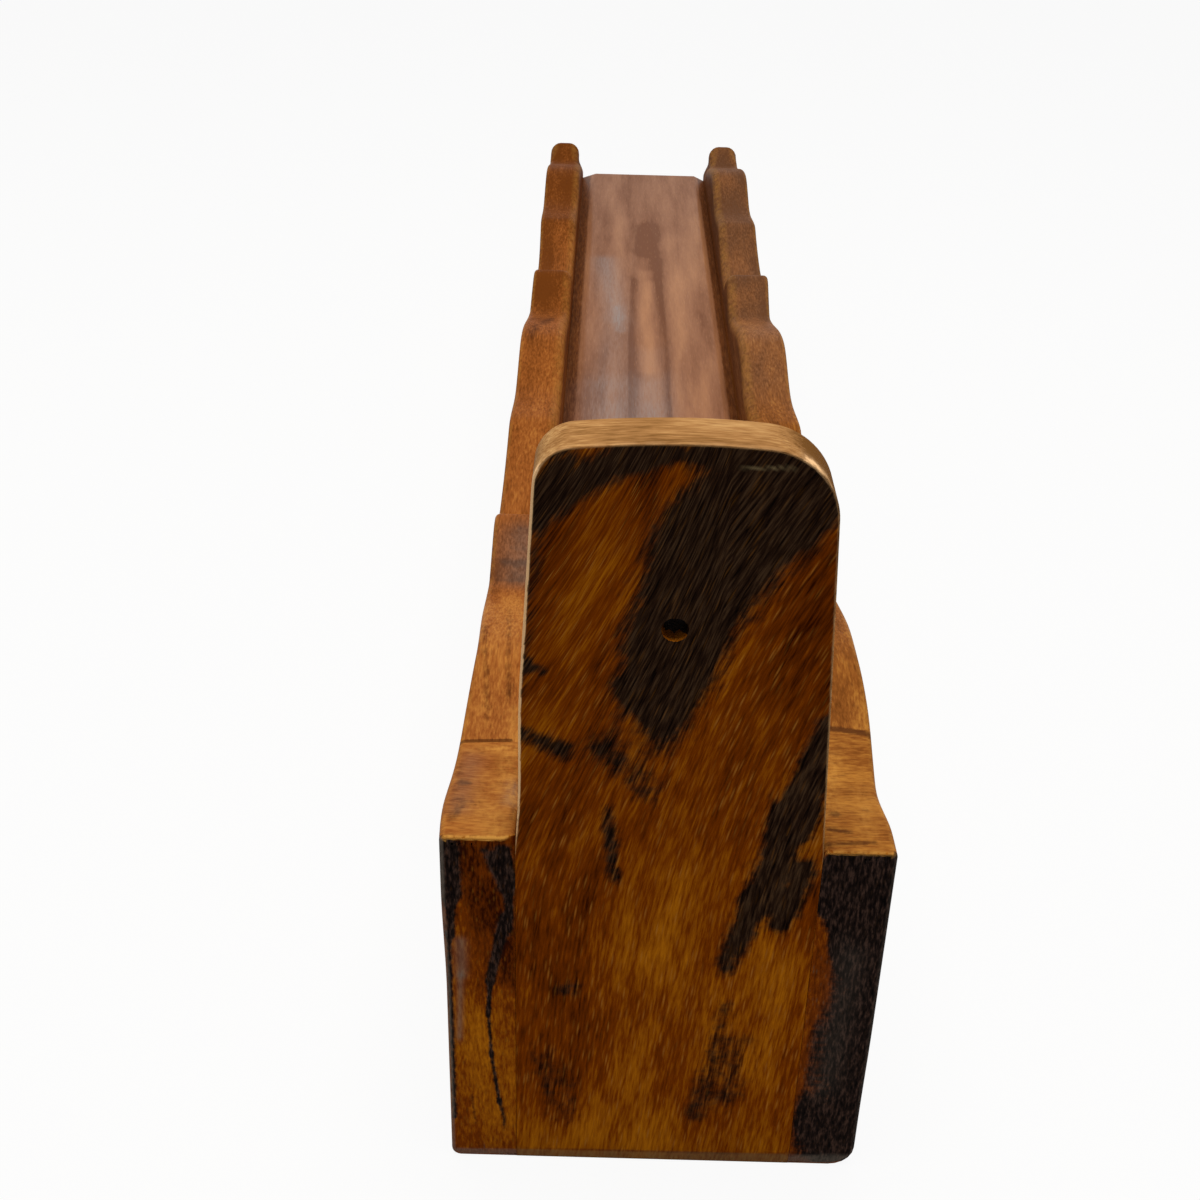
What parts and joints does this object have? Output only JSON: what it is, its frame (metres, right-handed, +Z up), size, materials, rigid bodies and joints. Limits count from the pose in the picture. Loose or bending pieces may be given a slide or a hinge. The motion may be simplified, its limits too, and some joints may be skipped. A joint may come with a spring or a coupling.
{
  "type": "incense stick holder",
  "caption": "Long wooden incense stick holder: a fluted ash tray between scalloped side boards, with a tall drilled end plate that holds the stick over the tray.",
  "frame": {"origin": "bottom of the holder, in the middle of its footprint", "axes": "+Z up, +Y along the holder from the drilled end plate to the open end, +X to the right seen from the plate's end"},
  "size_m": [0.0508, 0.305, 0.0998],
  "materials": {
    "board_wood": "satin lacquered rosewood, dark and light streaks",
    "plate_wood": "satin lacquered rosewood, dark orange-brown",
    "tray_wood": "satin lacquered rosewood, pinkish brown",
    "hidden_wood": "sanded and thinly lacquered rosewood",
    "pin_steel": "bright drawn wire"
  },
  "bodies": {
    "root": {"left_side_board": "board_wood", "right_side_board": "board_wood", "stick_plate": "plate_wood", "tray_floor": "tray_wood", "tail_board": "hidden_wood", "base_panel": "hidden_wood", "plate_pins": "pin_steel", "tail_pins": "pin_steel"}
  },
  "joints": []
}
